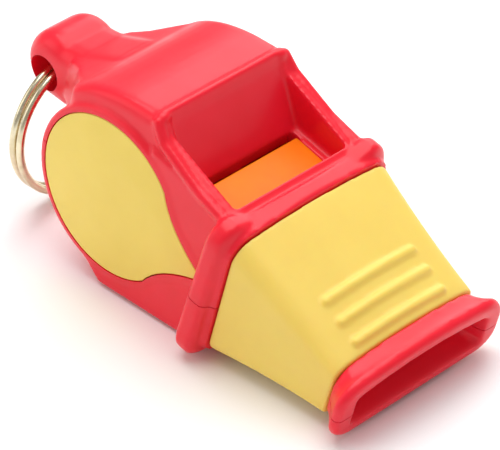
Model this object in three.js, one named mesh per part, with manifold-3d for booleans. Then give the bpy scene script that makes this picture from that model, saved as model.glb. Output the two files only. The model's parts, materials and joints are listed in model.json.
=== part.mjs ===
// Pealess training whistle with a split ring. Millimetres, +Z up.
// Built in the mouthpiece's own frame: X runs forward to the mouth, the flange sits at x = 0 with its
// top at z = 0, and Y runs across. The last lines pitch it nose down, so it stands on its keel.
import * as THREE from 'three';
import { mergeVertices } from 'three/addons/utils/BufferGeometryUtils.js';
import Module from 'manifold-3d';

const wasm = await Module();
wasm.setup();

// Driving dimensions
const pitch = THREE.MathUtils.degToRad(14);
const shellWall = 1.3;
const partingGap = 0.2;
const fitClearance = 0.15;

const chamberRadius = 10.4;            // outside of the round chamber body
const bodyHalfWidth = 9.75;            // side walls, inside the raised cap bosses
const bossProud = 0.25;                // cap bosses stand out of the side walls
const chamberHalfWidth = 7.2;

const windowLength = 10.8;             // flange face to the crest of the back wall
const windowHalfWidth = 7.7;
const crestHeight = 4.2;               // above the flange top
const cheekDrop = 0;                   // height of the cheek edges where they meet the flange
const floorDepth = 2.2;                // window floor below the flange top
const windwayHeight = 1.1;
const soundGap = 1.5;                  // slot between window floor and back wall foot

const flangeHalfWidth = 13.2;           // at its bottom edge
const flangeTopHalfWidth = 12;
const flangeHeight = 17.4;
const flangeThickness = 2.6;
const flangeCorner = 2.4;

const mouthLength = 20.1;              // flange middle to lip face
const gripStart = 2.1;
const gripEnd = 17;
const gripWall = 1;
const tubeWall = 0.8;
const gripRootHalfWidth = 11.3;
const gripTipHalfWidth = 10.2;
const gripRootTop = -0.8;
const gripTipTop = -5.9;
const gripRootBottom = -16.2;
const gripTipBottom = -12.4;
const gripCorner = 2.2;
const gripArch = 0.9;
const ribHeight = 0.45;
const ribWidth = 1.1;
const ribHalfLength = 6.25;
const ribPlaces = [0.59, 0.75, 0.91];  // shares of the grip's length

const lipHalfWidth = 12;
const lipTop = -5.8;
const lipBottom = -12.6;
const lipArch = 1.0;
const mouthHalfWidth = 9.2;
const mouthTop = -7.6;
const mouthBottom = -10.7;

const capRadius = 9.4;
const capThickness = 1.2;
const capRim = 0.9;

const footLength = 12.8;
const footDrop = 10.2;                 // keel foot below the chamber's middle, at the foot's middle

const tabReach = 16.2;                 // chamber middle to tab tip middle, along X
const tabTipRadius = 4;
const tabHalfWidth = 4;
const tabRound = 1.8;
const tabHoleRadius = 2.1;

const ringRadius = 8.4;
const ringWire = 0.92;
const ringCoilGap = 0.12;

// Places worked out from the dimensions above
const chamberX = -(windowLength + flangeThickness / 2 + 3.5);
const partingZ = -9.4;
const crestX = -(windowLength + flangeThickness / 2);
const rampFootX = crestX + 4.4;
const blockRearX = rampFootX + soundGap;
const flangeRearX = -flangeThickness / 2;
const bossHalfWidth = bodyHalfWidth + bossProud;
const tabX = chamberX - tabReach;
const tabZ = partingZ + 1.5;
const holeX = tabX - 0.5;
const holeZ = tabZ - 0.8;
const throatTop = 0.2;

// Solids from three.js geometry
function toSolid(geometry) {
  const bare = geometry.index ? geometry.toNonIndexed() : geometry.clone();
  bare.deleteAttribute('normal');
  bare.deleteAttribute('uv');
  const merged = mergeVertices(bare, 1e-4);
  return new wasm.Manifold(new wasm.Mesh({
    numProp: 3,
    vertProperties: new Float32Array(merged.attributes.position.array),
    triVerts: new Uint32Array(merged.index.array),
  }));
}

function toGeometry(solid) {
  const mesh = solid.getMesh();
  const geometry = new THREE.BufferGeometry();
  geometry.setAttribute('position', new THREE.BufferAttribute(mesh.vertProperties, 3));
  geometry.setIndex(new THREE.BufferAttribute(mesh.triVerts, 1));
  geometry.computeVertexNormals();
  return geometry;
}

// A side outline in X and Z, extruded across from -halfWidth to +halfWidth
function sideSlab(shape, halfWidth, round = 0, steps = 10) {
  const geometry = new THREE.ExtrudeGeometry(shape, {
    depth: 2 * (halfWidth - round),
    bevelEnabled: round > 0,
    bevelThickness: round,
    bevelSize: round,
    bevelOffset: -round,
    bevelSegments: 2,
    curveSegments: steps,
  });
  geometry.rotateX(Math.PI / 2);
  geometry.translate(0, halfWidth - round, 0);
  return toSolid(geometry);
}

// A plan outline in X and Y, extruded up from low to high
function planSlab(shape, low, high, steps = 10) {
  const geometry = new THREE.ExtrudeGeometry(shape, {
    depth: high - low,
    bevelEnabled: false,
    curveSegments: steps,
  });
  geometry.translate(0, 0, low);
  return toSolid(geometry);
}

function outline(points) {
  return new THREE.Shape(points.map(([x, z]) => new THREE.Vector2(x, z)));
}

function crossRod(radius, halfLength, x, z, sides = 32) {
  const geometry = new THREE.CylinderGeometry(radius, radius, 2 * halfLength, sides);
  geometry.translate(x, 0, z);
  return toSolid(geometry);
}

function block(x0, x1, halfWidth, z0, z1) {
  const geometry = new THREE.BoxGeometry(x1 - x0, 2 * halfWidth, z1 - z0);
  geometry.translate((x0 + x1) / 2, 0, (z0 + z1) / 2);
  return toSolid(geometry);
}

// A closed body through rings of points, each ring with the same count, listed along the body
function loft(rings) {
  const count = rings[0].length;
  const positions = rings.flat().flatMap((point) => [point.x, point.y, point.z]);
  const index = [];
  for (let ring = 0; ring < rings.length - 1; ring++) {
    for (let i = 0; i < count; i++) {
      const a = ring * count + i;
      const b = ring * count + (i + 1) % count;
      index.push(a, b, b + count, a, b + count, a + count);
    }
  }
  const capFace = (ring, flip) => {
    const centre = new THREE.Vector3();
    rings[ring].forEach((point) => centre.add(point));
    centre.divideScalar(count);
    const hub = positions.length / 3;
    positions.push(centre.x, centre.y, centre.z);
    for (let i = 0; i < count; i++) {
      const a = ring * count + i;
      const b = ring * count + (i + 1) % count;
      index.push(...(flip ? [hub, b, a] : [hub, a, b]));
    }
  };
  capFace(0, true);
  capFace(rings.length - 1, false);
  const geometry = new THREE.BufferGeometry();
  geometry.setAttribute('position', new THREE.BufferAttribute(new Float32Array(positions), 3));
  geometry.setIndex(index);
  return toSolid(geometry);
}

// A rounded rectangular section across the mouthpiece at x, its top arched
function section(x, halfWidth, top, bottom, corner, arch, grow = 0) {
  const w = halfWidth + grow;
  const zTop = top + grow;
  const zBottom = bottom - grow;
  const r = Math.max(corner + grow, 0.3);
  const points = [];
  const cornerSteps = 4;
  const corners = [[w - r, zTop - r, 0], [-(w - r), zTop - r, 90], [-(w - r), zBottom + r, 180],
    [w - r, zBottom + r, 270]];
  corners.forEach(([y, z, start], side) => {
    for (let i = 0; i <= cornerSteps; i++) {
      const angle = THREE.MathUtils.degToRad(start + 90 * i / cornerSteps);
      points.push(new THREE.Vector3(x, y + r * Math.cos(angle), z + r * Math.sin(angle)));
    }
    if (side === 0) {
      for (const share of [0.6, 0.2, -0.2, -0.6]) points.push(new THREE.Vector3(x, share * (w - r), zTop));
    }
  });
  const middle = (zTop + zBottom) / 2;
  for (const point of points) {
    const lift = Math.max(0, (point.z - middle) / (zTop - middle));
    point.z += arch * lift * (1 - (point.y / w) ** 2);
  }
  return points;
}

// The grip's outside at share t of its length, 0 at the flange end; grow moves it out or in
function gripSection(t, grow = 0) {
  const ease = 1 - (1 - t) ** 2;
  return section(
    THREE.MathUtils.lerp(gripStart, gripEnd, t),
    THREE.MathUtils.lerp(gripRootHalfWidth, gripTipHalfWidth, ease),
    gripTopAt(t),
    THREE.MathUtils.lerp(gripRootBottom, gripTipBottom, t),
    gripCorner,
    gripArch,
    grow,
  );
}

function gripTopAt(t) {
  return THREE.MathUtils.lerp(gripRootTop, gripTipTop, t);
}

function gripRings(grow) {
  return [0, 0.2, 0.4, 0.6, 0.8, 1].map((t) => gripSection(t, grow));
}

function shiftRing(ring, dx) {
  return ring.map((point) => new THREE.Vector3(point.x + dx, point.y, point.z));
}

// The teardrop inlay outline: a round disc whose tail runs to the flange, grown by offset
function capOutline(offset) {
  const r = capRadius + offset;
  const join = THREE.MathUtils.degToRad(44);
  const tipX = flangeRearX - 0.7 + Math.max(0, offset);
  const tipHalf = 0.3 + offset;
  const waistX = chamberX + 8.3 + offset * 0.7;
  const waistHalf = 2.9 + offset;
  const joinX = chamberX + r * Math.cos(join);
  const joinHalf = r * Math.sin(join);
  const shape = new THREE.Shape();
  shape.moveTo(tipX, partingZ + tipHalf);
  shape.quadraticCurveTo(waistX, partingZ + waistHalf, joinX, partingZ + joinHalf);
  shape.absarc(chamberX, partingZ, r, join, 2 * Math.PI - join, false);
  shape.quadraticCurveTo(waistX, partingZ - waistHalf, tipX, partingZ - tipHalf);
  return shape;
}

// The foot is parallel to the ground once the whole is pitched
function footCorners() {
  const middleX = chamberX + 7.2;
  const middleZ = partingZ - footDrop - 0.5;
  const dx = footLength / 2 * Math.cos(pitch);
  const dz = footLength / 2 * Math.sin(pitch);
  return { rear: [middleX - dx, middleZ - dz], front: [middleX + dx, middleZ + dz], middleX, middleZ };
}

function bodyOutline() {
  const { rear, front } = footCorners();
  const shape = new THREE.Shape();
  shape.moveTo(0, 1 - flangeHeight);
  shape.lineTo(0, cheekDrop);
  shape.lineTo(crestX + 1.2, crestHeight - 1.5);
  shape.lineTo(crestX, crestHeight);
  shape.lineTo(crestX - 4.5, crestHeight - 1.3);
  shape.quadraticCurveTo(crestX - 10, crestHeight - 3, crestX - 12, crestHeight - 5.6);
  const join = THREE.MathUtils.degToRad(140);
  shape.absarc(chamberX, partingZ, chamberRadius, join, THREE.MathUtils.degToRad(262), false);
  shape.lineTo(rear[0], rear[1]);
  shape.lineTo(front[0], front[1]);
  return shape;
}

// A round-edged tongue, thick at the tip around the hole; its underside rises to the parting plane
function tongueSolid() {
  const bodyRear = chamberX - chamberRadius;
  const low = partingZ + partingGap;
  const rings = [0.97, 0.88, 0.7, 0.45, 0.2].map((share) => {
    const full = Math.sqrt(1 - share ** 2);
    const half = tabTipRadius * full;
    const width = 1.4 + (tabHalfWidth - 1.4) * full;
    return section(tabX - tabTipRadius * share, width, tabZ + half, tabZ - half, tabRound * full, 0);
  });
  rings.push(
    section(tabX, tabHalfWidth, tabZ + tabTipRadius, tabZ - tabTipRadius, tabRound, 0),
    section(tabX + 2.2, tabHalfWidth, tabZ + tabTipRadius, tabZ - tabTipRadius + 0.6, tabRound, 0),
    section(bodyRear + 0.2, tabHalfWidth + 0.8, crestHeight - 6.2, low, tabRound, 0),
    section(bodyRear + 4, tabHalfWidth + 0.8, crestHeight - 4.8, low, tabRound, 0),
    section(chamberX, tabHalfWidth + 0.8, crestHeight - 4.8, low, tabRound, 0),
  );
  return loft(rings);
}

// The web under the tongue's top, from the side
function webSide() {
  const root = chamberX + 2;
  return outline([
    [root, crestHeight - 4.6],
    [crestX - 10.5, crestHeight - 5],
    [tabX + 3, tabZ + tabTipRadius - 0.6],
    [tabX + 3, tabZ - tabTipRadius + 1.2],
    [chamberX - chamberRadius + 0.2, partingZ + partingGap],
    [root, partingZ + partingGap],
  ]);
}

// The web seen from above: full body width at its root, then in to the tongue by a hollow curve
function webPlan() {
  const rootX = chamberX - 6;
  const neckX = tabX + 3.2;
  const shape = new THREE.Shape();
  shape.moveTo(chamberX + 2, -bodyHalfWidth);
  shape.lineTo(rootX, -bodyHalfWidth);
  shape.bezierCurveTo(rootX - 3.5, -bodyHalfWidth, neckX + 3, -tabHalfWidth, neckX, -tabHalfWidth + 0.8);
  shape.lineTo(neckX, tabHalfWidth - 0.8);
  shape.bezierCurveTo(neckX + 3, tabHalfWidth, rootX - 3.5, bodyHalfWidth, rootX, bodyHalfWidth);
  shape.lineTo(chamberX + 2, bodyHalfWidth);
  return shape;
}

function tabSolid() {
  const web = sideSlab(webSide(), bodyHalfWidth).intersect(planSlab(webPlan(), -30, 10));
  return tongueSolid().add(web).subtract(crossRod(tabHoleRadius, bodyHalfWidth, holeX, holeZ));
}

function flangeSolid() {
  const half = flangeThickness / 2;
  const bead = 0.7;
  const narrowed = (point) => {
    const rise = 1 + point.z / flangeHeight;
    const width = THREE.MathUtils.lerp(1, flangeTopHalfWidth / flangeHalfWidth, rise);
    return new THREE.Vector3(point.x, point.y * width, point.z);
  };
  const ring = (x, grow) => section(x, flangeHalfWidth, 0, -flangeHeight, flangeCorner, 0, grow).map(narrowed);
  return loft([ring(-half, -bead), ring(-half + bead, 0), ring(half - bead, 0), ring(half, -bead)]);
}

function shoulderSolid() {
  const end = gripStart - fitClearance;
  return loft([shiftRing(gripSection(0, 0.35), -gripStart), shiftRing(gripSection(0, 0.35), end - gripStart)]);
}

// Under the grip the tube is thinner by the grip's wall; beyond it stands the lip
function tubeSolid() {
  const core = gripRings(-gripWall - fitClearance);
  const inner = [shiftRing(core[0], -gripStart), ...core, shiftRing(core[core.length - 1], 0.5)];
  const bandX = gripEnd + fitClearance;
  const bead = 0.6;
  const lip = (x, grow) => section(x, lipHalfWidth, lipTop, lipBottom, gripCorner, lipArch, grow);
  const band = [gripSection(1, 0), gripSection(1, 0.25)];
  const rings = [shiftRing(band[0], bandX - gripEnd), shiftRing(band[1], 0.9), lip(mouthLength - 1.6, 0),
    lip(mouthLength - bead, 0), lip(mouthLength, -bead)];
  return loft(inner).add(loft(rings));
}

// The breath's way: a wide mouth, a flat neck inside the tube wall, then a slot over the window floor
function mouthCavity() {
  const wide = (x, top, bottom) => section(x, chamberHalfWidth - 0.3, top, bottom, 0.3, 0);
  const rearTop = -floorDepth + windwayHeight;
  const flare = section(mouthLength + 1, mouthHalfWidth, mouthTop, mouthBottom, 0.8, lipArch);
  return loft([
    wide(flangeRearX - 0.5, rearTop, partingZ + partingGap / 2),
    wide(gripStart, rearTop - 0.6, partingZ + partingGap / 2 - 0.2),
    gripSection(1, -gripWall - fitClearance - tubeWall),
    flare,
  ]);
}

function chamberHollow(shrink = 0) {
  const roomRadius = chamberRadius - shellWall - 0.3 - shrink;
  const round = crossRod(roomRadius, chamberHalfWidth - shrink, chamberX, partingZ);
  const throat = sideSlab(outline([
    [rampFootX - 0.15 - shrink, -floorDepth - 0.3 - shrink],
    [crestX - 0.2 - shrink, crestHeight - 2.9 - shrink],
    [chamberX - 1 + shrink, throatTop - shrink],
    [chamberX - 1 + shrink, partingZ],
    [blockRearX - shrink, partingZ],
    [blockRearX - shrink, -floorDepth - 0.3 - shrink],
  ]), chamberHalfWidth - shrink);
  return round.add(throat);
}

function windowCut() {
  return sideSlab(outline([
    [crestX - 0.6, crestHeight + 1],
    [crestX + 0.5, crestHeight - 0.8],
    [rampFootX, -floorDepth - 0.35],
    [flangeRearX, -floorDepth - 0.35],
    [flangeRearX, crestHeight + 1],
  ]), windowHalfWidth);
}

// Room for the air block, open at the back to the sound gap
function blockRoom() {
  return block(blockRearX - 0.2, flangeRearX + 0.6, chamberHalfWidth - 0.3, partingZ - 0.5, -floorDepth + 0.1);
}

function capSlab(offset, inner, outer, side) {
  const slab = sideSlab(capOutline(offset), (outer - inner) / 2, offset > 0 ? 0 : 0.12, 16);
  return slab.translate([0, side * (outer + inner) / 2, 0]);
}

// Both shells in one, hollowed, before it is split at the parting plane
function wholeShell() {
  let solid = sideSlab(bodyOutline(), bodyHalfWidth, 0.5, 16);
  solid = solid.add(sideSlab(capOutline(capRim), bossHalfWidth, 0.35, 16));
  solid = solid.add(flangeSolid()).add(shoulderSolid()).add(tubeSolid());
  solid = solid.subtract(chamberHollow()).subtract(windowCut()).subtract(blockRoom()).subtract(mouthCavity());
  const recessFloor = bossHalfWidth - capThickness - fitClearance;
  for (const side of [-1, 1]) {
    solid = solid.subtract(capSlab(fitClearance, recessFloor, bossHalfWidth + 1, side));
  }
  return solid;
}

function shellHalf(upper) {
  const cut = partingZ + (upper ? partingGap : -partingGap) / 2;
  const room = upper ? block(-60, 60, 40, cut, 40) : block(-60, 60, 40, -60, cut);
  return wholeShell().intersect(room);
}

function upperShell() {
  const recessFloor = bossHalfWidth - capThickness - fitClearance;
  let tab = tabSolid().subtract(chamberHollow());
  for (const side of [-1, 1]) tab = tab.subtract(capSlab(fitClearance, recessFloor, bossHalfWidth + 1, side));
  return shellHalf(true).add(tab);
}

function lowerShell() {
  return shellHalf(false);
}

// The yellow wedge under the window: its top is the window floor, its nose splits the breath
function airwayBlock() {
  const low = partingZ + partingGap / 2 + fitClearance;
  const noseX = gripEnd - 8;
  return sideSlab(outline([
    [blockRearX, -floorDepth],
    [gripStart - 1, -floorDepth - 0.2],
    [noseX, -6.4],
    [noseX, -7.4],
    [gripStart, low],
    [blockRearX + 0.8, low],
    [blockRearX + 0.3, low + 3],
  ]), chamberHalfWidth - 0.3 - fitClearance, 0.3);
}

// A plate down the middle makes two chambers; a step shortens one of them for the second tone
function chamberDivider() {
  const plateHalf = 0.6;
  const plate = chamberHollow(fitClearance).intersect(block(-60, blockRearX - 0.3, plateHalf, -60, 60));
  const stepHigh = partingZ - 4.2;
  const stepRoom = block(-60, 60, chamberHalfWidth, -60, stepHigh).translate([0, chamberHalfWidth, 0]);
  const step = crossRod(chamberRadius - shellWall - 0.3 - fitClearance, chamberHalfWidth - fitClearance,
    chamberX, partingZ).intersect(stepRoom);
  return plate.add(step);
}

function mouthGrip() {
  let sleeve = loft(gripRings(0)).subtract(loft(lengthened(gripRings(-gripWall))));
  for (const t of ribPlaces) sleeve = sleeve.add(rib(t));
  return sleeve;
}

function lengthened(rings) {
  return [shiftRing(rings[0], -1), ...rings, shiftRing(rings[rings.length - 1], 1)];
}

// A rounded bar across the grip's top, following its arch
function rib(t) {
  const x = THREE.MathUtils.lerp(gripStart, gripEnd, t);
  const z = gripTopAt(t);
  const rings = [-1, -0.9, -0.5, 0, 0.5, 0.9, 1].map((share) => {
    const y = share * ribHalfLength;
    const swell = Math.abs(share) === 1 ? 0.4 : 1;
    const arched = z + gripArch * (1 - (y / gripTipHalfWidth) ** 2);
    return [0, 60, 120, 180, 240, 300].map((degrees) => {
      const angle = THREE.MathUtils.degToRad(degrees);
      return new THREE.Vector3(
        x + ribWidth / 2 * swell * Math.cos(angle), y, arched - 0.05 + ribHeight * swell * Math.sin(angle),
      );
    }).reverse();
  });
  return loft(rings);
}

// Two coils of wire side by side that cross over once, as a key ring is wound
function splitRing() {
  const turns = 2;
  const stepsPerTurn = 40;
  const pitchAcross = ringWire + ringCoilGap;
  const crossOver = 0.35;
  const middle = ringRadius - ringWire / 2;
  const start = crossOver * 1.4;
  const end = turns * 2 * Math.PI - start;
  const rings = [];
  const count = turns * stepsPerTurn;
  for (let i = 0; i <= count; i++) {
    const angle = THREE.MathUtils.lerp(start, end, i / count);
    const shift = THREE.MathUtils.smoothstep(angle, 2 * Math.PI - crossOver, 2 * Math.PI + crossOver) - 0.5;
    const taper = i === 0 || i === count ? 0.6 : 1;
    const half = ringWire / 2 * taper;
    const ring = [[1, 0.5], [0.5, 1], [-0.5, 1], [-1, 0.5], [-1, -0.5], [-0.5, -1], [0.5, -1], [1, -0.5]];
    rings.push(ring.map(([across, out]) => {
      const r = middle + out * half;
      return new THREE.Vector3(shift * pitchAcross + across * half, r * Math.cos(angle), r * Math.sin(angle));
    }));
  }
  return loft(rings);
}

// The ring rests on the tab below its hole, and clears the hole's ends by the running clearance
function ringDrop() {
  const inner = ringRadius - ringWire;
  const runningClearance = 0.3;
  const holeHalfLength = tabHalfWidth - 0.1;
  const contact = Math.sqrt(inner ** 2 - holeHalfLength ** 2);
  return contact + tabHoleRadius - runningClearance - 0.35;
}

const shellRed = new THREE.MeshStandardMaterial({ color: 0xf0384a, roughness: 0.28, metalness: 0 });
const inlayYellow = new THREE.MeshStandardMaterial({ color: 0xe8ca62, roughness: 0.4, metalness: 0 });
const gripYellow = new THREE.MeshStandardMaterial({ color: 0xf4da68, roughness: 0.6, metalness: 0 });
const ringSteel = new THREE.MeshStandardMaterial({ color: 0xbeaa78, roughness: 0.2, metalness: 1 });

function addPart(holder, name, solid, material) {
  const mesh = new THREE.Mesh(toGeometry(solid), material);
  mesh.name = name;
  holder.add(mesh);
  return mesh;
}

const whistle = new THREE.Group();
const body = new THREE.Group();
const foot = footCorners();
body.rotation.y = pitch;
body.position.set(
  -(foot.middleX * Math.cos(pitch) + foot.middleZ * Math.sin(pitch)),
  0,
  foot.middleX * Math.sin(pitch) - foot.middleZ * Math.cos(pitch),
);
whistle.add(body);

addPart(body, 'upper_shell', upperShell(), shellRed);
addPart(body, 'lower_shell', lowerShell(), shellRed);
addPart(body, 'airway_block', airwayBlock(), inlayYellow);
addPart(body, 'chamber_divider', chamberDivider(), shellRed);
const capInner = bossHalfWidth - capThickness;
addPart(body, 'left_side_cap', capSlab(0, capInner, bossHalfWidth, 1), inlayYellow);
addPart(body, 'right_side_cap', capSlab(0, capInner, bossHalfWidth, -1), inlayYellow);
addPart(body, 'mouth_grip', mouthGrip(), gripYellow);

const ringHanger = new THREE.Group();
ringHanger.position.set(holeX, 0, holeZ);
ringHanger.rotation.y = -pitch;
body.add(ringHanger);
const ring = addPart(ringHanger, 'split_ring', splitRing(), ringSteel);
ring.position.z = -ringDrop();

export default whistle;
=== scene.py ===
# Training whistle: glossy red shell, yellow inlays, soft mouth grip, steel split ring.
import bpy
import json
import math
from mathutils import Matrix, Vector


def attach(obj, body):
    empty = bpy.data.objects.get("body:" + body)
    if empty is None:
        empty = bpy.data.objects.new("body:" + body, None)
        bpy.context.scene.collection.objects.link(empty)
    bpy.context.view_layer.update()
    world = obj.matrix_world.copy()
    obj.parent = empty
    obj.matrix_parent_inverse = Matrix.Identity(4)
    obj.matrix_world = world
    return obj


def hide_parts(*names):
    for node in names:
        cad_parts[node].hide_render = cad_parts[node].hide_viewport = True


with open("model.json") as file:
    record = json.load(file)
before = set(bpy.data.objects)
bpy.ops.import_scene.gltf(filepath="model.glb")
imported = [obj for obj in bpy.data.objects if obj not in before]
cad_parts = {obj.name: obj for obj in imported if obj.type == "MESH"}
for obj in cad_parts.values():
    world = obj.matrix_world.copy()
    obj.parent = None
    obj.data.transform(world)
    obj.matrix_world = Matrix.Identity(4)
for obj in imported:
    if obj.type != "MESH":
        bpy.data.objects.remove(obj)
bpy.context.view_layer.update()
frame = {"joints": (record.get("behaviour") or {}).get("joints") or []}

# Pieces are modelled in millimetres along the mouthpiece: X runs to the mouth, the flange is at 0
# with its top at Z 0. placePiece pitches each one nose down and brings it into the frame.
layout = {
    "pitch": 14, "partingZ": -9.4, "chamberX": -15.6, "chamberHalf": 7.2,
    "holeX": -32.3, "holeZ": -8.7, "holeRadius": 2.1, "capFace": 10.02,
    "voxel": 0.22,
}


# ---------- camera, floor and light ----------

def makeCamera():
    view = {"target": (0.00581, 0.00042, 0.00874), "distance": 0.4, "azimuth": 43.77, "elevation": 35.93,
            "roll": 1.36, "lens": 280.15}
    azimuth, elevation = math.radians(view["azimuth"]), math.radians(view["elevation"])
    back = Vector((math.sin(azimuth) * math.cos(elevation), -math.cos(azimuth) * math.cos(elevation),
                   math.sin(elevation)))
    turn = back.to_track_quat("Z", "Y").to_matrix() @ Matrix.Rotation(math.radians(view["roll"]), 3, "Z")
    place = Vector(view["target"]) + back * view["distance"]
    bpy.ops.object.camera_add(location=place, rotation=turn.to_euler())
    camera = bpy.context.object
    camera.data.lens = view["lens"]
    camera.data.clip_start = 0.02
    bpy.context.scene.camera = camera
    print("camera placed")


def makeStudio():
    studio = {"floorSize": 3.0, "floorColour": (0.95, 0.95, 0.95), "worldStrength": 0.44}
    bpy.ops.mesh.primitive_plane_add(size=studio["floorSize"], location=(0, 0, 0))
    floor = bpy.context.object
    floor.name = "studio_floor"
    paint = bpy.data.materials.new("floorPaper")
    paint.use_nodes = True
    shader = paint.node_tree.nodes["Principled BSDF"]
    shader.inputs["Base Color"].default_value = (*studio["floorColour"], 1)
    shader.inputs["Roughness"].default_value = 0.9
    shader.inputs["Specular IOR Level"].default_value = 0.1
    floor.data.materials.append(paint)

    world = bpy.data.worlds.new("softRoom")
    world.use_nodes = True
    world.node_tree.nodes["Background"].inputs["Color"].default_value = (1, 1, 1, 1)
    world.node_tree.nodes["Background"].inputs["Strength"].default_value = studio["worldStrength"]
    bpy.context.scene.world = world

    lamps = {
        "softbox_top": {"at": (-0.05, 0.05, 0.42), "size": 0.42, "power": 1.75},
        "softbox_left": {"at": (-0.28, -0.3, 0.2), "size": 0.3, "power": 0.35},
        "softbox_back": {"at": (-0.2, 0.36, 0.26), "size": 0.3, "power": 0.7},
    }
    for name, lamp in lamps.items():
        aim = (Vector((0.003, 0, 0.01)) - Vector(lamp["at"])).to_track_quat("-Z", "Y")
        bpy.ops.object.light_add(type="AREA", location=lamp["at"], rotation=aim.to_euler())
        light = bpy.context.object
        light.name = name
        light.data.size = lamp["size"]
        light.data.energy = lamp["power"]
    bpy.context.scene.view_settings.view_transform = "Standard"
    print("floor and lights placed")


# ---------- shader groups shared by the materials ----------

def newGroup(name, inputs, output):
    tree = bpy.data.node_groups.new(name, "ShaderNodeTree")
    for label, value in inputs.items():
        tree.interface.new_socket(label, in_out="INPUT", socket_type="NodeSocketFloat").default_value = value
    tree.interface.new_socket(output, in_out="OUTPUT", socket_type="NodeSocketFloat")
    return tree, tree.nodes.new("NodeGroupInput"), tree.nodes.new("NodeGroupOutput")


def makeMottleGroup():
    tree, given, out = newGroup("mottle", {"Scale": 300, "Low": 0, "High": 1}, "Value")
    where = tree.nodes.new("ShaderNodeTexCoord")
    noise = tree.nodes.new("ShaderNodeTexNoise")
    noise.inputs["Detail"].default_value = 4
    spread = tree.nodes.new("ShaderNodeMapRange")
    spread.inputs["From Min"].default_value = 0.3
    spread.inputs["From Max"].default_value = 0.7
    link = tree.links.new
    link(where.outputs["Object"], noise.inputs["Vector"])
    link(given.outputs["Scale"], noise.inputs["Scale"])
    link(noise.outputs["Fac"], spread.inputs["Value"])
    link(given.outputs["Low"], spread.inputs["To Min"])
    link(given.outputs["High"], spread.inputs["To Max"])
    link(spread.outputs["Result"], out.inputs["Value"])
    return tree


def makeGrainGroup():
    tree, given, out = newGroup("mouldGrain", {"Fine": 9000, "Coarse": 900, "Orange Peel": 0.3}, "Height")
    where = tree.nodes.new("ShaderNodeTexCoord")
    fine = tree.nodes.new("ShaderNodeTexNoise")
    coarse = tree.nodes.new("ShaderNodeTexNoise")
    blend = tree.nodes.new("ShaderNodeMix")
    link = tree.links.new
    for noise, label in ((fine, "Fine"), (coarse, "Coarse")):
        noise.inputs["Detail"].default_value = 2
        link(where.outputs["Object"], noise.inputs["Vector"])
        link(given.outputs[label], noise.inputs["Scale"])
    link(given.outputs["Orange Peel"], blend.inputs["Factor"])
    link(fine.outputs["Fac"], blend.inputs["A"])
    link(coarse.outputs["Fac"], blend.inputs["B"])
    link(blend.outputs["Result"], out.inputs["Height"])
    return tree


def makeScratchGroup():
    tree, given, out = newGroup("handlingScratches", {"Scale": 260, "Amount": 0.5}, "Mask")
    where = tree.nodes.new("ShaderNodeTexCoord")
    stretch = tree.nodes.new("ShaderNodeMapping")
    stretch.inputs["Rotation"].default_value = (0.4, 0.2, 0.7)
    stretch.inputs["Scale"].default_value = (1, 14, 5)
    noise = tree.nodes.new("ShaderNodeTexNoise")
    noise.inputs["Detail"].default_value = 5
    cut = tree.nodes.new("ShaderNodeMapRange")
    cut.inputs["From Min"].default_value = 0.62
    cut.inputs["From Max"].default_value = 0.7
    scale = tree.nodes.new("ShaderNodeMath")
    scale.operation = "MULTIPLY"
    link = tree.links.new
    link(where.outputs["Object"], stretch.inputs["Vector"])
    link(stretch.outputs["Vector"], noise.inputs["Vector"])
    link(given.outputs["Scale"], noise.inputs["Scale"])
    link(noise.outputs["Fac"], cut.inputs["Value"])
    link(cut.outputs["Result"], scale.inputs[0])
    link(given.outputs["Amount"], scale.inputs[1])
    link(scale.outputs["Value"], out.inputs["Mask"])
    return tree


groups = {"mottle": makeMottleGroup(), "grain": makeGrainGroup(), "scratches": makeScratchGroup()}


def addGroup(tree, name, values):
    node = tree.nodes.new("ShaderNodeGroup")
    node.node_tree = groups[name]
    for label, value in values.items():
        node.inputs[label].default_value = value
    return node


def finishMaterial(name, look):
    paint = bpy.data.materials.new(name)
    paint.use_nodes = True
    tree = paint.node_tree
    shader = tree.nodes["Principled BSDF"]
    for label, value in look["constants"].items():
        shader.inputs[label].default_value = value
    link = tree.links.new

    shade = addGroup(tree, "mottle", {"Scale": look["mottleScale"]})
    colour = tree.nodes.new("ShaderNodeMix")
    colour.data_type = "RGBA"
    # a mix node keeps its two colours in sockets 6 and 7, and gives the mixed one from output 2
    colour.inputs[6].default_value = (*look["colourDeep"], 1)
    colour.inputs[7].default_value = (*look["colourLight"], 1)
    link(shade.outputs["Value"], colour.inputs["Factor"])
    link(colour.outputs[2], shader.inputs["Base Color"])

    polish = addGroup(tree, "mottle", {"Scale": look["polishScale"], "Low": look["roughness"][0],
                                       "High": look["roughness"][1]})
    scratches = addGroup(tree, "scratches", {"Scale": look["scratchScale"], "Amount": look["scratchAmount"]})
    rough = tree.nodes.new("ShaderNodeMath")
    rough.operation = "ADD"
    rough.use_clamp = True
    link(polish.outputs["Value"], rough.inputs[0])
    link(scratches.outputs["Mask"], rough.inputs[1])
    link(rough.outputs["Value"], shader.inputs["Roughness"])

    grain = addGroup(tree, "grain", {"Fine": look["grainFine"], "Coarse": look["grainCoarse"],
                                     "Orange Peel": look["orangePeel"]})
    bump = tree.nodes.new("ShaderNodeBump")
    bump.inputs["Strength"].default_value = look["bump"]
    bump.inputs["Distance"].default_value = look["bumpDepth"]
    link(grain.outputs["Height"], bump.inputs["Height"])
    link(bump.outputs["Normal"], shader.inputs["Normal"])
    return paint


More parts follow.
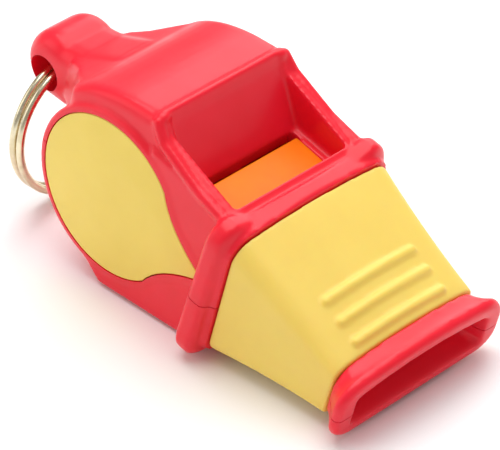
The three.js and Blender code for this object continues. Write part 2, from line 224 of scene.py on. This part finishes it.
def makeShellRed():
    return finishMaterial("shellRed", {
        "colourDeep": (0.84, 0.009, 0.026), "colourLight": (0.88, 0.012, 0.034), "mottleScale": 220,
        "roughness": (0.3, 0.38), "polishScale": 400, "scratchScale": 700, "scratchAmount": 0.06,
        "grainFine": 12000, "grainCoarse": 1500, "orangePeel": 0.5, "bump": 0.12, "bumpDepth": 0.00002,
        "constants": {"Subsurface Weight": 0.2, "Subsurface Radius": (1.0, 0.2, 0.15),
                      "Subsurface Scale": 0.0015, "Specular IOR Level": 0.32, "Coat Weight": 0.08,
                      "Coat Roughness": 0.15},
    })


def makeInlayYellow():
    return finishMaterial("inlayYellow", {
        "colourDeep": (0.86, 0.63, 0.10), "colourLight": (0.90, 0.67, 0.115), "mottleScale": 160,
        "roughness": (0.42, 0.5), "polishScale": 500, "scratchScale": 500, "scratchAmount": 0.08,
        "grainFine": 14000, "grainCoarse": 2600, "orangePeel": 0.35, "bump": 0.15, "bumpDepth": 0.00002,
        "constants": {"Subsurface Weight": 0.15, "Subsurface Radius": (1.0, 0.6, 0.2),
                      "Subsurface Scale": 0.001},
    })


def makeAirwayAmber():
    return finishMaterial("airwayAmber", {
        "colourDeep": (0.88, 0.17, 0.003), "colourLight": (0.93, 0.25, 0.005), "mottleScale": 130,
        "roughness": (0.36, 0.45), "polishScale": 500, "scratchScale": 500, "scratchAmount": 0.06,
        "grainFine": 14000, "grainCoarse": 2600, "orangePeel": 0.35, "bump": 0.12, "bumpDepth": 0.00002,
        "constants": {"Subsurface Weight": 0.25, "Subsurface Radius": (1.0, 0.5, 0.15),
                      "Subsurface Scale": 0.0012, "Specular IOR Level": 0.2},
    })


def makeGripYellow():
    return finishMaterial("gripYellow", {
        "colourDeep": (0.89, 0.62, 0.115), "colourLight": (0.93, 0.66, 0.13), "mottleScale": 140,
        "roughness": (0.46, 0.56), "polishScale": 500, "scratchScale": 420, "scratchAmount": 0.05,
        "grainFine": 11000, "grainCoarse": 2200, "orangePeel": 0.4, "bump": 0.2, "bumpDepth": 0.00003,
        "constants": {"Subsurface Weight": 0.4, "Subsurface Radius": (1.0, 0.6, 0.15),
                      "Subsurface Scale": 0.0015},
    })


def makeRingSteel():
    return finishMaterial("ringSteel", {
        "colourDeep": (0.62, 0.53, 0.34), "colourLight": (0.80, 0.72, 0.52), "mottleScale": 900,
        "roughness": (0.14, 0.26), "polishScale": 1800, "scratchScale": 1500, "scratchAmount": 0.18,
        "grainFine": 9000, "grainCoarse": 2500, "orangePeel": 0.3, "bump": 0.1, "bumpDepth": 0.00002,
        "constants": {"Metallic": 1.0},
    })


finishes = {"shell_red": makeShellRed(), "inlay_yellow": makeInlayYellow(), "grip_yellow": makeGripYellow(),
            "ring_steel": makeRingSteel(), "airway_amber": makeAirwayAmber()}
print("materials made")


# ---------- modelling helpers ----------

def clearSelection():
    if bpy.context.mode != "OBJECT":
        bpy.ops.object.mode_set(mode="OBJECT")
    bpy.ops.object.select_all(action="DESELECT")


def makeActive(piece):
    clearSelection()
    piece.select_set(True)
    bpy.context.view_layer.objects.active = piece


def editAll():
    bpy.ops.object.mode_set(mode="EDIT")
    bpy.ops.mesh.select_all(action="SELECT")


def faceOutward(piece):
    makeActive(piece)
    editAll()
    bpy.ops.mesh.normals_make_consistent(inside=False)
    bpy.ops.object.mode_set(mode="OBJECT")
    return piece


def applyModifier(piece, kind, **settings):
    makeActive(piece)
    modifier = piece.modifiers.new(kind.lower(), kind)
    for label, value in settings.items():
        setattr(modifier, label, value)
    bpy.ops.object.modifier_apply(modifier=modifier.name)


def combine(piece, other, operation):
    applyModifier(piece, "BOOLEAN", object=other, operation=operation, solver="MANIFOLD")
    bpy.data.objects.remove(other, do_unlink=True)


def duplicatePiece(piece, name):
    makeActive(piece)
    bpy.ops.object.duplicate(linked=False)
    copy = bpy.context.object
    copy.name = name
    return copy


def roundEdges(piece, width, angle=50, segments=4):
    applyModifier(piece, "BEVEL", width=width, segments=segments, limit_method="ANGLE",
                  angle_limit=math.radians(angle), use_clamp_overlap=True)
    return piece


def tracePoints(name, points, closed=True):
    clearSelection()
    bpy.ops.mesh.primitive_plane_add(size=1)
    piece = bpy.context.object
    piece.name = name
    editAll()
    bpy.ops.mesh.merge(type="CENTER")
    bpy.ops.transform.translate(value=points[0])
    for last, point in zip(points, points[1:]):
        step = Vector(point) - Vector(last)
        bpy.ops.mesh.extrude_region_move(TRANSFORM_OT_translate={"value": step})
    if closed:
        bpy.ops.mesh.select_all(action="SELECT")
        bpy.ops.mesh.edge_face_add()
    bpy.ops.object.mode_set(mode="OBJECT")
    return piece


def sideSlab(name, outline, low, high):
    piece = tracePoints(name, [(x, low, z) for x, z in outline])
    editAll()
    bpy.ops.mesh.extrude_region_move(TRANSFORM_OT_translate={"value": (0, high - low, 0)})
    return faceOutward(piece)


def planSlab(name, outline, low, high):
    piece = tracePoints(name, [(x, y, low) for x, y in outline])
    editAll()
    bpy.ops.mesh.extrude_region_move(TRANSFORM_OT_translate={"value": (0, 0, high - low)})
    return faceOutward(piece)


def arcPoints(x, z, radius, start, end, count):
    angles = [math.radians(start + (end - start) * i / (count - 1)) for i in range(count)]
    return [(x + radius * math.cos(a), z + radius * math.sin(a)) for a in angles]


def curvePoints(start, pull, end, count):
    points = []
    for i in range(count):
        t = i / (count - 1)
        weights = ((1 - t) ** 2, 2 * t * (1 - t), t * t)
        points.append(tuple(sum(w * p[k] for w, p in zip(weights, (start, pull, end))) for k in range(2)))
    return points


def rod(name, radius, start, end, sides=24):
    start, end = Vector(start), Vector(end)
    clearSelection()
    turn = (end - start).to_track_quat("Z", "Y").to_euler()
    bpy.ops.mesh.primitive_cylinder_add(vertices=sides, radius=radius, depth=(end - start).length,
                                        location=(start + end) / 2, rotation=turn)
    piece = bpy.context.object
    piece.name = name
    bpy.ops.object.transform_apply(location=True, rotation=True, scale=True)
    return piece


def ball(radius, at):
    clearSelection()
    bpy.ops.mesh.primitive_uv_sphere_add(segments=20, ring_count=12, radius=radius, location=at)
    return bpy.context.object


def block(name, low, high):
    clearSelection()
    bpy.ops.mesh.primitive_cube_add(size=1, location=(Vector(low) + Vector(high)) / 2)
    piece = bpy.context.object
    piece.name = name
    piece.scale = Vector(high) - Vector(low)
    bpy.ops.object.transform_apply(location=True, rotation=True, scale=True)
    return piece


# A rounded rectangle swept along X; each station is its x, half width, top and bottom
def sectionSleeve(name, stations, corner, arch=0.0):
    x, half, top, bottom = stations[0]
    ring = []
    centres = ((half - corner, top - corner, 0), (corner - half, top - corner, 90),
               (corner - half, bottom + corner, 180), (half - corner, bottom + corner, 270))
    for y, z, start in centres:
        ring += arcPoints(y, z, corner, start, start + 90, 7)
        if start == 0:
            ring += [(y * share, top) for share in (0.75, 0.5, 0.25, 0, -0.25, -0.5, -0.75)]
    piece = tracePoints(name, [(x, y, z) for y, z in ring])
    editAll()
    now = stations[0]
    for station in stations[1:]:
        bpy.ops.mesh.extrude_region_move(TRANSFORM_OT_translate={"value": (station[0] - now[0], 0, 0)})
        sizes = (1, station[1] / now[1], (station[2] - station[3]) / (now[2] - now[3]))
        centre = (now[2] + now[3]) / 2
        bpy.ops.transform.resize(value=sizes, center_override=(station[0], 0, centre))
        bpy.ops.transform.translate(value=(0, 0, (station[2] + station[3]) / 2 - centre))
        now = station
    bpy.ops.object.mode_set(mode="OBJECT")
    for station in stations:
        middle = (station[2] + station[3]) / 2
        for vertex in piece.data.vertices:
            if abs(vertex.co.x - station[0]) < 1e-3 and vertex.co.z > middle:
                share = min((vertex.co.z - middle) / (station[2] - middle), 1)
                vertex.co.z += arch * share * (1 - (vertex.co.y / station[1]) ** 2)
    return faceOutward(piece)


# Joins everything into one skin and softens the inner corners as a mould does
def fuse(piece, voxel, rounds):
    applyModifier(piece, "REMESH", mode="VOXEL", voxel_size=voxel, adaptivity=0)
    applyModifier(piece, "SMOOTH", factor=0.5, iterations=rounds)


def placePiece(piece, body, slot, nodes, smoothAngle=40, finish=None):
    hinge = Vector(frame["joints"][0]["pos_m"])
    turn = Matrix.Rotation(math.radians(layout["pitch"]), 4, "Y")
    hole = Vector((layout["holeX"], 0, layout["holeZ"])) * 0.001
    makeActive(piece)
    piece.matrix_world = Matrix.Translation(hinge - turn @ hole) @ turn @ Matrix.Scale(0.001, 4)
    bpy.ops.object.transform_apply(location=True, rotation=True, scale=True)
    bpy.ops.object.shade_smooth_by_angle(angle=math.radians(smoothAngle))
    piece.data.materials.clear()
    piece.data.materials.append(finishes[finish or slot])
    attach(piece, body)
    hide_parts(*nodes)
    print(piece.name, len(piece.data.polygons), "faces")


# ---------- outlines and stations that several pieces share ----------

# The round inlay whose tail runs to the flange, grown by offset
def teardrop(offset=0.0):
    drop = {"radius": 9.4, "join": 44, "tipX": -2.0, "tipHalf": 0.3, "waistX": -7.3, "waistHalf": 2.9,
            "points": 48}
    radius = drop["radius"] + offset
    join = math.radians(drop["join"])
    tip = (drop["tipX"] + max(0, offset), drop["tipHalf"] + max(offset, 0) * 0.8)
    waist = (drop["waistX"] + offset * 0.7, drop["waistHalf"] + offset)
    shoulder = (layout["chamberX"] + radius * math.cos(join), radius * math.sin(join))
    upper = curvePoints(tip, waist, shoulder, 9)
    lower = [(x, -half) for x, half in reversed(upper)]
    outer = arcPoints(layout["chamberX"], 0, radius, drop["join"], 360 - drop["join"], drop["points"])
    return [(x, layout["partingZ"] + half) for x, half in upper[:-1] + outer + lower[1:-1]] + \
        [(tip[0], layout["partingZ"] - tip[1])]


grip = {"start": 2.1, "end": 17.0, "rootHalf": 11.3, "tipHalf": 10.2, "rootTop": -0.8, "tipTop": -5.9,
        "rootBottom": -16.2, "tipBottom": -12.4, "corner": 2.2, "arch": 0.9, "wall": 1.0, "steps": 6}


def between(first, last, share):
    return grip[first] + (grip[last] - grip[first]) * share


# The grip's outside, moved out or in by grow and lengthened by extra at both ends
def gripStations(grow, extra=0.0):
    stations = []
    for i in range(grip["steps"]):
        t = i / (grip["steps"] - 1)
        half = between("rootHalf", "tipHalf", 1 - (1 - t) ** 2)
        top = between("rootTop", "tipTop", t)
        bottom = between("rootBottom", "tipBottom", t)
        stations.append([between("start", "end", t), half + grow, top + grow, bottom - grow])
    stations[0][0] -= extra
    stations[-1][0] += extra
    return stations


# ---------- the red shell, made whole and then split along its seam ----------

def makeShellWhole():
    shell = {"sideHalf": 9.92, "deckHalf": 9.45, "chamberRadius": 10.4, "flankRadius": 10.25,
             "crest": (-12.1, 4.35), "footRear": (-14.61, -21.65), "footFront": (-2.19, -18.55),
             "bossGrow": 0.85, "beadRadius": 0.62, "crestRadius": 0.75, "flangeHalf": 13.2,
             "flangeHeight": 17.4, "flangeCorner": 2.4, "flangeBead": 0.55, "flangeTaper": 0.09,
             "flangeHorn": 0.7, "hornFromY": 9, "hornFromZ": -3, "collarGrow": 0.32, "collarEnd": 1.98,
             "tubeInset": 1.15}
    chamberX, partingZ = layout["chamberX"], layout["partingZ"]
    rear = curvePoints((-16.6, 3.3), (-22.0, 1.7), (-24.3, -1.2), 9)
    belly = arcPoints(chamberX, partingZ, shell["chamberRadius"], 146, 262, 26)
    outline = [(0, 1 - shell["flangeHeight"]), (0, 0), (-10.9, 2.7), shell["crest"]]
    outline += rear + belly + [shell["footRear"], shell["footFront"]]
    whole = sideSlab("shell", outline, -shell["deckHalf"], shell["deckHalf"])
    roundEdges(whole, 1.3, angle=60, segments=5)

    # the flank is one flush face from the disc down to the keel, a little proud of the deck
    flank = [(0.4, -15.9), (0.4, -0.9), (-8.6, 0.7), (-12.2, 0.9)]
    flank += arcPoints(chamberX, partingZ, shell["flankRadius"], 66, 262, 44)
    flank += [(-14.4, -21.2), (-2.4, -18.3)]
    sides = sideSlab("flank", flank, -shell["sideHalf"], shell["sideHalf"])
    roundEdges(sides, 0.6, angle=40, segments=4)
    combine(whole, sides, "UNION")
    boss = sideSlab("boss", teardrop(shell["bossGrow"]), -layout["capFace"], layout["capFace"])
    roundEdges(boss, 0.35, angle=60, segments=3)
    combine(whole, boss, "UNION")

    # bead along each cheek's top edge, and the raised crest over the window
    cheekEdge = [(-12.4, 9.0, 3.7), (-10.9, 9.3, 2.2), (-8.2, 9.4, 1.3), (-5.2, 9.5, 0.35), (0.3, 9.7, -0.4)]
    for side in (-1, 1):
        edge = [(x, side * y, z) for x, y, z in cheekEdge]
        for last, point in zip(edge, edge[1:]):
            combine(whole, rod("bead", shell["beadRadius"], last, point), "UNION")
            combine(whole, ball(shell["beadRadius"], last), "UNION")
    crest = rod("crest", shell["crestRadius"], (-12.45, -8.8, 3.88), (-12.45, 8.8, 3.88))
    combine(whole, roundEdges(crest, 0.35, angle=60), "UNION")

    # the flange is wider at its foot, and its top corners rise as small horns
    half, height, bead = shell["flangeHalf"], shell["flangeHeight"], shell["flangeBead"]
    rim = (half - bead, -bead, bead - height)
    plate = [(-1.3, *rim), (-0.75, half, 0, -height), (0.75, half, 0, -height), (1.3, *rim)]
    flange = sectionSleeve("flange", plate, shell["flangeCorner"])
    for vertex in flange.data.vertices:
        rise = 1 + vertex.co.z / height
        vertex.co.y *= 1 - shell["flangeTaper"] * rise
        if vertex.co.z > shell["hornFromZ"] and abs(vertex.co.y) > shell["hornFromY"]:
            vertex.co.z += shell["flangeHorn"]
    combine(whole, flange, "UNION")
    collar = gripStations(shell["collarGrow"])[0]
    shoulder = [[0] + collar[1:], [shell["collarEnd"]] + collar[1:]]
    combine(whole, sectionSleeve("shoulder", shoulder, 2.4, grip["arch"]), "UNION")
    core = gripStations(-shell["tubeInset"], grip["start"])
    combine(whole, sectionSleeve("tube", core, 1.4, grip["arch"]), "UNION")
    lip = [(17.12, 10.2, -5.9, -12.4), (17.9, 10.7, -5.95, -12.4), (18.7, 11.5, -5.9, -12.5),
           (19.1, 12.0, -5.7, -12.6), (19.7, 12.0, -5.8, -12.6), (20.1, 11.6, -6.2, -12.2)]
    combine(whole, sectionSleeve("lip", lip, 2.2, 1.0), "UNION")
    print("shell outside joined")
    return whole


def makeTab():
    tab = {"x": -31.8, "z": -7.9, "radius": 4.0, "half": 4.0, "round": 2.1, "webRound": 0.5}
    low = layout["partingZ"] + 0.1
    side = arcPoints(tab["x"], tab["z"], tab["radius"], 75, 262, 20)
    side += [(-28.5, -11.4), (-26.2, low), (-18, low), (-18, 0.9), (-24.6, -0.9), (-28.4, -3.3)]
    tongue = sideSlab("tab", side, -tab["half"], tab["half"])
    roundEdges(tongue, tab["round"], angle=40, segments=6)
    webPlan = [(-18, -9.2), (-21.2, -9.2), (-23.4, -8.6), (-25.3, -6.9), (-26.9, -5.2), (-29, -4.1)]
    webPlan += [(x, -y) for x, y in reversed(webPlan)]
    web = planSlab("web", webPlan, low, 1.5)
    profile = [(-18, low), (-18, 1.1), (-23.2, -0.2), (-25.4, -1.7), (-29.2, -4.2), (-29.2, -9.9), (-26, low)]
    combine(web, sideSlab("webSide", profile, -11, 11), "INTERSECT")
    roundEdges(web, tab["webRound"])
    combine(tongue, web, "UNION")
    return tongue


def makeHollows():
    hollow = {"radius": 8.8, "windowHalf": 8.0, "blockHalf": 6.9, "gripInset": 1.95}
    partingZ, chamberX, half = layout["partingZ"], layout["chamberX"], layout["chamberHalf"]
    room = rod("room", hollow["radius"], (chamberX, -half, partingZ), (chamberX, half, partingZ), sides=96)
    throat = [(-7.7, -2.5), (-7.7, -4.3), (-8.5, -4.3), (-12.3, 0.9), (-16.6, 0.2), (-16.6, partingZ),
              (-6.2, partingZ), (-6.2, -2.5)]
    combine(room, sideSlab("throat", throat, -half, half), "UNION")
    window = [(-12.75, 5.4), (-11.65, 3.2), (-7.7, -2.55), (-1.3, -2.55), (-1.3, 5.4)]
    combine(room, sideSlab("window", window, -hollow["windowHalf"], hollow["windowHalf"]), "UNION")
    wide = hollow["blockHalf"]
    combine(room, block("blockRoom", (-6.4, -wide, -9.9), (-0.7, wide, -2.1)), "UNION")
    neck = gripStations(-hollow["gripInset"])[-1]
    cavity = [(-1.8, wide, -1.1, -9.3), (2.1, wide, -1.7, -9.5), neck, (18.6, 9.0, -7.5, -10.9),
              (21.1, 10.2, -6.9, -11.5)]
    combine(room, sectionSleeve("mouth", cavity, 0.8, grip["arch"]), "UNION")
    return room


def makeShellHalves():
    seam = {"gap": 0.05, "rearX": -26.3, "recessFloor": 8.65, "recessPlay": 0.1, "beyond": 12, "smoothing": 6}
    whole = makeShellWhole()
    combine(whole, makeTab(), "UNION")
    combine(whole, makeHollows(), "DIFFERENCE")
    fuse(whole, layout["voxel"], seam["smoothing"])
    print("shell fused", len(whole.data.polygons))
    ends = [(layout["holeX"], y, layout["holeZ"]) for y in (-11, 11)]
    combine(whole, rod("hole", layout["holeRadius"], *ends, sides=64), "DIFFERENCE")
    for side in (-1, 1):
        low, high = sorted((side * seam["recessFloor"], side * seam["beyond"]))
        combine(whole, sideSlab("capRecess", teardrop(seam["recessPlay"]), low, high), "DIFFERENCE")

    # the seam runs from the mouth back round the body, and leaves the tab whole on the upper half
    z, gap, edge = layout["partingZ"], seam["gap"], seam["rearX"]
    lower = duplicatePiece(whole, "visual_lower_shell")
    combine(lower, block("lowerRoom", (edge, -40, -60), (60, 40, z - gap)), "INTERSECT")
    combine(whole, block("lowerRoom", (edge, -40, -60), (60, 40, z + gap)), "DIFFERENCE")
    whole.name = "visual_upper_shell"
    placePiece(whole, "body", "shell_red", ["upper_shell"])
    placePiece(lower, "body", "shell_red", ["lower_shell"])


# ---------- side caps, airway block and divider ----------

def makeSideCap(side):
    cap = {"inner": 8.8, "edge": 0.14}
    node = "left_side_cap" if side > 0 else "right_side_cap"
    low, high = sorted((side * cap["inner"], side * layout["capFace"]))
    piece = sideSlab("visual_" + node, teardrop(), low, high)
    roundEdges(piece, cap["edge"], angle=60, segments=3)
    placePiece(piece, "body", "inlay_yellow", [node])


def makeAirwayBlock():
    wedge = {"half": 6.75, "round": 0.3, "noseX": 9, "aboveSeam": 0.25}
    low, nose = layout["partingZ"] + wedge["aboveSeam"], wedge["noseX"]
    profile = [(-6.6, -2.2), (1.4, -2.4), (nose, -6.4), (nose, -7.4), (2.4, low), (-5.4, low),
               (-5.9, low + 3)]
    piece = sideSlab("visual_airway_block", profile, -wedge["half"], wedge["half"])
    roundEdges(piece, wedge["round"], angle=25)
    placePiece(piece, "body", "inlay_yellow", ["airway_block"], finish="airway_amber")


def makeDivider():
    plate = {"radius": 8.95, "half": 0.6, "stepWide": 7.0, "stepBelow": 4.2, "edge": 0.12}
    partingZ, chamberX, half = layout["partingZ"], layout["chamberX"], plate["half"]
    piece = rod("visual_chamber_divider", plate["radius"], (chamberX, -half, partingZ),
                (chamberX, half, partingZ), sides=96)
    throat = [(-8.3, -4.6), (-12.3, 0.4), (-16.4, 0.0), (-16.4, partingZ), (-7.0, partingZ), (-7.0, -4.6)]
    combine(piece, sideSlab("plateThroat", throat, -half, half), "UNION")
    step = rod("step", plate["radius"], (chamberX, 0, partingZ),
               (chamberX, plate["stepWide"], partingZ), sides=96)
    stepTop = partingZ - plate["stepBelow"]
    combine(step, block("stepRoom", (-40, -1, -40), (20, 12, stepTop)), "INTERSECT")
    combine(piece, step, "UNION")
    roundEdges(piece, plate["edge"], angle=60, segments=2)
    placePiece(piece, "body", "shell_red", ["chamber_divider"])


# ---------- soft mouth grip ----------

def makeMouthGrip():
    ribs = {"places": (0.59, 0.75, 0.91), "half": 6.25, "radius": 0.55, "sunk": 0.12, "joints": 9}
    piece = sectionSleeve("visual_mouth_grip", gripStations(0), grip["corner"], grip["arch"])
    roundEdges(piece, 0.2, angle=60, segments=3)
    for share in ribs["places"]:
        points = []
        for i in range(ribs["joints"] + 1):
            y = ribs["half"] * (2 * i / ribs["joints"] - 1)
            arched = grip["arch"] * (1 - (y / grip["tipHalf"]) ** 2)
            z = between("rootTop", "tipTop", share) + arched - ribs["sunk"]
            points.append((between("start", "end", share), y, z))
        for last, point in zip(points, points[1:]):
            combine(piece, rod("rib", ribs["radius"], last, point, sides=20), "UNION")
            combine(piece, ball(ribs["radius"], last), "UNION")
        combine(piece, ball(ribs["radius"], points[-1]), "UNION")
    fuse(piece, layout["voxel"] * 0.9, 3)
    inside = gripStations(-grip["wall"], 1.0)
    combine(piece, sectionSleeve("gripInside", inside, 1.3, grip["arch"]), "DIFFERENCE")
    placePiece(piece, "body", "grip_yellow", ["mouth_grip"])


# ---------- split ring ----------

def makeSplitRing():
    ring = {"radius": 8.4, "wire": 0.92, "gap": 0.12, "crossOver": 0.35, "steps": 96,
            "holeHalf": 3.9, "play": 0.65, "lead": 1.4}
    inner = ring["radius"] - ring["wire"]
    # the wire clears the ends of the hole's lower edge by the play
    drop = math.sqrt(inner ** 2 - ring["holeHalf"] ** 2) + layout["holeRadius"] - ring["play"]
    middle = ring["radius"] - ring["wire"] / 2
    start = ring["crossOver"] * ring["lead"]
    end = 4 * math.pi - start
    points = []
    for i in range(2 * ring["steps"] + 1):
        angle = start + (end - start) * i / (2 * ring["steps"])
        t = (angle - 2 * math.pi + ring["crossOver"]) / (2 * ring["crossOver"])
        t = min(max(t, 0), 1)
        shift = (t * t * (3 - 2 * t) - 0.5) * (ring["wire"] + ring["gap"])
        points.append((shift, middle * math.cos(angle), middle * math.sin(angle) - drop))
    path = tracePoints("visual_split_ring", points, closed=False)
    makeActive(path)
    bpy.ops.object.convert(target="CURVE")
    wire = bpy.context.object
    wire.data.twist_mode = "MINIMUM"
    wire.data.bevel_mode = "ROUND"
    wire.data.bevel_depth = ring["wire"] / 2
    wire.data.bevel_resolution = 5
    wire.data.use_fill_caps = True
    bpy.ops.object.convert(target="MESH")
    piece = bpy.context.object
    faceOutward(piece)

    # the ring hangs plumb, so it is turned back against the pitch at the hole
    makeActive(piece)
    turn = Matrix.Rotation(math.radians(-layout["pitch"]), 4, "Y")
    piece.matrix_world = Matrix.Translation((layout["holeX"], 0, layout["holeZ"])) @ turn
    bpy.ops.object.transform_apply(location=True, rotation=True, scale=True)
    placePiece(piece, "ring", "ring_steel", ["split_ring"], smoothAngle=60)


makeCamera()
makeStudio()
makeShellHalves()
makeSideCap(1)
makeSideCap(-1)
makeAirwayBlock()
makeDivider()
makeMouthGrip()
makeSplitRing()
